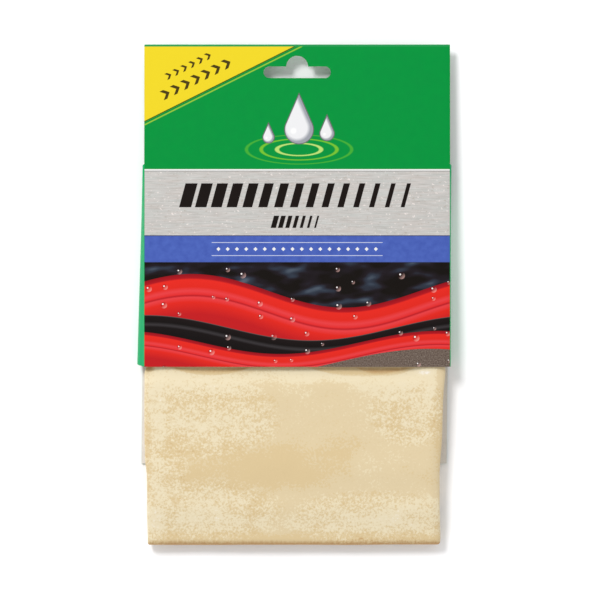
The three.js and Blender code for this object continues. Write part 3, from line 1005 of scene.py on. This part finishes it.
# How deep the front of the skin dips under the card's lower edge, as places across and depths. It
# buckles deeper at the left corner and at two places between, and rises to the card at the right.
MOUTH_DIPS = [
    (-74, 1.2), (-70.5, 2.4), (-67, 1.0), (-60, 0.5), (-53, 1.0), (-47, 1.3), (-41, 1.4), (-34, 1.4),
    (-27, 1.3), (0, 1.3), (18, 1.1), (26, 1.2), (36, 1.4), (50, 1.5), (55, 1.1), (60, 0),
]
DIP_ROUNDING = 2
DIP_SAMPLES = 7

# Where the dips deepen and fade, where the stack swells and settles again, and where it is free
# to wave: starts and ends as distances past the card's lower edge
DIP_DEEPENS = (-24, -1)
DIP_FADES = (1.4, 7.5)
SWELL = 0.9
SWELL_RISES = (0, 11)
SETTLING = 0.35
SWELL_SETTLES = (14, 34)
WAVES_RISE = (-4, 20)

# Waves of the free stack: height, size across and along, and a number that sets them apart
STACK_WAVES = [(0.3, 34, 26, 1.7), (0.12, 9, 9, 5.1)]

# How the front's sides roll down: where the roll starts and how deep it goes, left and right
LEFT_ROLL = 3.5
LEFT_ROLL_DEPTH = 0.7
RIGHT_ROLL = 4.2
RIGHT_ROLL_DEPTH = 1.5

# How far the skin's sides and foot wander, and the size of these waves along the edges and from
# layer to layer
SIDE_WANDER = 0.25
SIDE_WANDER_SIZE = 22
FOOT_WANDER = 0.3
FOOT_WANDER_SIZE = 25
FOOT_WANDER_RISES = (180, 230)
LAYER_WANDER_SIZE = 3


def surface_swell(across, distance):
    """How much the stack swells or sinks at each place, at its top."""
    past = distance - FRONT_LENGTH
    places, depths = zip(*MOUTH_DIPS)
    offsets = np.linspace(-DIP_ROUNDING, DIP_ROUNDING, DIP_SAMPLES)
    dip = np.mean([np.interp(across + offset, places, depths) for offset in offsets], axis=0)
    swell = SWELL * ramp(*SWELL_RISES, past) - SETTLING * ramp(*SWELL_SETTLES, past)
    swell = swell - dip * (ramp(*DIP_DEEPENS, past) - ramp(*DIP_FADES, past))
    for height, width, stretch, pattern in STACK_WAVES:
        waves = noise_at(across / width, distance / stretch, pattern)
        swell = swell + height * ramp(*WAVES_RISE, past) * waves
    return swell


def side_roll(across, left, right):
    """How far the stack's top sinks towards its two sides."""
    near_right = np.clip((across - (right - RIGHT_ROLL)) / RIGHT_ROLL, 0, 1)
    near_left = np.clip((left + LEFT_ROLL - across) / LEFT_ROLL, 0, 1)
    return -RIGHT_ROLL_DEPTH * near_right ** 1.5 - LEFT_ROLL_DEPTH * near_left ** 2


def leather_surface():
    """The skin's middle surface: the folded line across it, carried along the rows."""
    rows, outline = leather_rows(), across_points()
    ahead, behind = np.roll(rows, -1, axis=0), np.roll(rows, 1, axis=0)
    ahead[-1], behind[0] = rows[-1], rows[0]
    along = np.stack([behind[:, 0] - ahead[:, 0], ahead[:, 1] - behind[:, 1]], axis=1)
    along /= np.linalg.norm(along, axis=1)[:, None]
    share, offset, lift = outline.T
    distance, height, squeeze, left, right = (column[:, None] for column in rows.T)
    across = lerp(left, right, share) + offset
    rise_y, rise_z = along[:, 1][:, None], -along[:, 0][:, None]
    place = distance - rise_y * lift * squeeze
    level = height + rise_z * lift * squeeze
    swell = surface_swell(across, place) + side_roll(across, left, right)
    share_of_stack = (level - LEATHER_FLOOR) / (STACK * squeeze)
    level = level + swell * np.clip(share_of_stack, 0, None)
    layer = level / LAYER_WANDER_SIZE
    across = across + SIDE_WANDER * noise_at(place / SIDE_WANDER_SIZE, layer, share * 9)
    foot_wander = FOOT_WANDER * ramp(*FOOT_WANDER_RISES, place)
    place = place + foot_wander * noise_at(across / FOOT_WANDER_SIZE, layer, 4.4)
    points = np.stack(np.broadcast_arrays(*to_frame(across, place, level)), axis=-1)
    row_count, column_count = points.shape[:2]
    index = np.arange(row_count * column_count).reshape(row_count, column_count)
    quads = np.stack([index[:-1, :-1], index[1:, :-1], index[1:, 1:], index[:-1, 1:]], axis=-1)
    return points.reshape(-1, 3), quads.reshape(-1, 4).tolist()


# Finish of the leather, with tones from 0, dark, to 1, bright

# The middle tone, and how far wide clouds and fine specks swing round it
MIDDLE_TONE = 0.53
CLOUD_SWING = 0.24
SPECK_SWING = 0.3
ROUGH_SPECK_SWING = 1.6

# Lighter and darker clouds of the nap, some of them painted shade and painted highlights: across,
# distance, their half sizes and the change of tone
NAP_CLOUDS_AND_PAINTED_LIGHT = [
    # Just below the card: lighter clouds as a painted highlight on the swell past its edge, a band of
    # painted shade along the edge, painted shade at the left corner and a painted highlight at the
    # right
    (-46, 161, 36, 8, 0.14), (52, 161, 34, 11, 0.14), (6, 157, 34, 5, 0.1), (-12, 171, 12, 7, -0.06),
    (0, 153, 75, 2, -0.16), (-70.3, 153.5, 3, 2.4, -0.55), (60.5, 156, 6, 1.8, 0.3),
    # Over the middle
    (-42, 181, 28, 11, 0.07), (-14, 201, 48, 14, -0.12), (-58, 191, 12, 7, -0.1),
    (-49, 206, 13, 7, -0.07), (21, 191, 14, 8, -0.07),
    # Towards the foot
    (-50, 221, 32, 14, 0.1), (46, 224, 38, 11, 0.12), (0, 228, 80, 5, 0.06),
    (-69, 231, 8, 13, 0.14), (61, 220, 7, 12, 0.07), (-39, 225, 4, 7, 0.08),
    # Along the sides: a painted highlight on the left side's roll, a darker strip at its outer edge,
    # and a lighter cloud on the right
    (-66.5, 185, 5, 56, 0.11), (-70.8, 195, 2, 24, -0.12), (62, 172, 10, 8, 0.08),
]

# Where the nap is rough, so that its tones break up into specks: across, distance and half sizes
ROUGH_NAP = [
    (-42, 178, 36, 22), (-66, 200, 16, 46), (-44, 222, 40, 17), (54, 175, 22, 17), (36, 226, 44, 15),
    (-30, 112, 34, 20), (44, 128, 26, 18),
]
ROUGHEST = 0.5

# Crescents of brown painted shade that hang from the card's edge where the skin buckles deepest:
# across, half width, drop and change of tone
CRESCENT_SHADES = [(-41, 20, 2.1, -0.36), (42, 15, 2.3, -0.22), (30, 26, 2.4, -0.28)]

# Painted shade on the rounded right side: it starts furthest in at this place, and runs out from it
# both ways
ROUND_SIDE = 63.3
ROUND_SIDE_DISTANCE = 185
ROUND_SIDE_UP_SLOPE = 0.1
ROUND_SIDE_DOWN_SLOPE = 0.27
ROUND_SIDE_BLUR = 3.2
ROUND_SIDE_SHADE = -0.1

# Painted shade along the foot's roll: how far each band reaches from a fringed line, its blur and the
# change of tone
FOOT_FRINGE = 3
FOOT_PAINTED_SHADES = [(4, 6, -0.18), (1.3, 1.8, -0.34)]

# Tones of the nap, from the brown of the painted shade in its deepest folds to a painted highlight
NAP_TONES = [
    (0.02, (202, 160, 108)), (0.22, (217, 187, 139)), (0.34, (226, 202, 156)), (0.46, (228, 204, 158)),
    (0.48, (231, 211, 171)), (0.57, (233, 213, 173)), (0.6, (241, 226, 191)), (0.85, (243, 229, 197)),
    (1, (255, 250, 244)),
]


def cloud(x, d, across, distance, half_width, half_length):
    """1 at the middle of an oval, falling to 0 at its rim."""
    aside, along = (x - across) / half_width, (d - distance) / half_length
    return (1 - aside * aside - along * along).higher(0)


def crescent(x, d, across, half_width, drop):
    """1 halfway between the card's edge and an arc that hangs from it, falling to 0 at both."""
    aside = (x - across) / half_width
    arch = 1 - aside * aside
    along = (d - FRONT_LENGTH) / (arch.higher(0.01) * drop) - 1
    return (1 - along * along).higher(0) * (arch * 3).lower(1).higher(0)


def nap_tone(paint, x, d, z, specks):
    """The nap's tone from clouds and specks, with crescents of painted shade, painted highlights, and
    painted shade on the rounded side and foot.
    """
    clouds = paint.noise(x / 17, d / 14, z / 20, detail=4, roughness=0.6)
    patches = paint.noise(x / 6, d / 3.2, z / 4)
    tone = (clouds - 0.5) * CLOUD_SWING + MIDDLE_TONE
    # Clouds of the nap, with painted shade and painted highlights among them
    for *place, change in NAP_CLOUDS_AND_PAINTED_LIGHT:
        tone = tone + cloud(x, d, *place) * change
    # Crescents of painted shade under the card's edge
    for *shape, change in CRESCENT_SHADES:
        tone = tone + crescent(x, d, *shape) * change
    rough = 0
    for place in ROUGH_NAP:
        rough = cloud(x, d, *place).higher(rough)
    rough = rough.lower(ROUGHEST)
    tone = tone + (specks - 0.5) * (rough * ROUGH_SPECK_SWING + SPECK_SWING)
    tone = tone + (patches - 0.5) * rough
    # Painted shade on the rounded right side
    past = d - ROUND_SIDE_DISTANCE
    side = (ROUND_SIDE - past * ROUND_SIDE_UP_SLOPE).higher(ROUND_SIDE + past * ROUND_SIDE_DOWN_SLOPE)
    tone = tone + (x - side).above(0, ROUND_SIDE_BLUR) * ROUND_SIDE_SHADE
    # Painted shade along the foot's roll
    fringe = paint.noise(x * 0.8, 0, z * 0.3, detail=3, roughness=0.7)
    from_foot = LEATHER_FOOT - d + (fringe - 0.5) * FOOT_FRINGE
    for reach, blur, change in FOOT_PAINTED_SHADES:
        tone = tone + from_foot.below(reach, blur) * change
    return tone


def leather_finish():
    """Suede nap: clouds of a few tones that break up into specks, with painted shade on the rolls and
    under the card, and painted highlights.
    """
    paint = Painter("chamois")
    x, d, z = paint.across, paint.distance, paint.height
    specks = paint.noise(x * 0.9, d * 0.9, z * 0.9, roughness=0.75)
    nap = paint.noise(x * 2.6, d * 4.5, z * 2.6, detail=4, roughness=0.7)
    paint.colour = paint.gradient(nap_tone(paint, x, d, z, specks), NAP_TONES)
    paint.bump(nap + specks * 0.6, 0.25, 0.25)
    return paint.finish(0.95, 0.12, sheen_weight=0.15, sheen_roughness=0.5)


def build_leather():
    piece = make_object("folded_chamois", *leather_surface(), [leather_finish()])
    thicken(piece, SKIN)
    shade(piece, 60)
    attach(piece, "leather")
    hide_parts("chamois_leather")
    return piece


def finish_glue():
    glue = glue_finish()
    for name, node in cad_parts.items():
        if "glue" in name:
            node.data.materials.clear()
            node.data.materials.append(glue)


# Stage, light and camera

# The floor's colours are over the 255 of white, so that soft shade leaves it white
FLOOR_SIZE = 4000
FLOOR_DROP = 0.1
FLOOR_COLOUR = (279, 279, 280)
FLOOR_GRAIN_COLOUR = (277, 277, 279)

# Light and camera. Places and sizes in the photo are pixels.
DARK_TOP = 0.6
KEY_POWER = 32
KEY_SIZE = 750
KEY_PLACE = (-850, 1200, 1700)
PHOTO_SIZE = 600
PHOTO_SCALE = 2.106
PHOTO_CARD_MIDDLE = 297.15
PHOTO_TOP_FOLD = 44
CAMERA_HEIGHT = 3000
SENSOR = 36


def build_stage():
    """A pale floor, just under the object, that the light brings to white."""
    paint = Painter("pale_floor")
    paint.base(FLOOR_COLOUR)
    grain = paint.noise(paint.across / 40, paint.distance / 40)
    paint.over(grain.above(0.5, 0.6) * 0.5, FLOOR_GRAIN_COLOUR)
    half = FLOOR_SIZE / 2
    corners = [(x * half, y * half, -FLOOR_DROP) for x, y in ((-1, -1), (1, -1), (1, 1), (-1, 1))]
    floor = make_object("floor", corners, [(0, 1, 2, 3)], [paint.finish(0.9, 0.1)])


def build_lights():
    """Soft light from all round, dimmer right overhead, and a large lamp at the upper left."""
    world = bpy.data.worlds.new("studio")
    world.use_nodes = True
    tree = world.node_tree
    direction = tree.nodes.new("ShaderNodeTexCoord").outputs["Generated"]
    overhead = split(tree, direction)[2].above(0.8, 0.3)
    background = tree.nodes["Background"]
    background.inputs["Color"].default_value = (1, 1, 1, 1)
    connect(tree, 1 - overhead * DARK_TOP, background.inputs["Strength"])
    bpy.context.scene.world = world
    light = bpy.data.lights.new("key", "AREA")
    light.shape = "DISK"
    light.size = KEY_SIZE * MM
    light.energy = KEY_POWER
    key = bpy.data.objects.new("key", light)
    key.location = Vector(KEY_PLACE) * MM
    key.rotation_euler = key.location.to_track_quat("Z", "Y").to_euler()
    bpy.context.scene.collection.objects.link(key)


def build_camera():
    """Straight above the card, framed as in the photo."""
    across = (PHOTO_SIZE / 2 - PHOTO_CARD_MIDDLE) / PHOTO_SCALE
    distance = (PHOTO_SIZE / 2 - PHOTO_TOP_FOLD) / PHOTO_SCALE
    field = PHOTO_SIZE / PHOTO_SCALE
    camera_data = bpy.data.cameras.new("camera")
    camera_data.sensor_width = SENSOR
    camera_data.lens = SENSOR * CAMERA_HEIGHT / field
    camera = bpy.data.objects.new("camera", camera_data)
    camera.location = Vector(to_frame(across, distance, MOUTH_TOP + CAMERA_HEIGHT)) * MM
    bpy.context.scene.collection.objects.link(camera)
    bpy.context.scene.camera = camera
    bpy.context.scene.view_settings.view_transform = "Standard"


build_camera()
build_lights()
build_stage()
sleeve = build_sleeve()
leather = build_leather()
finish_glue()
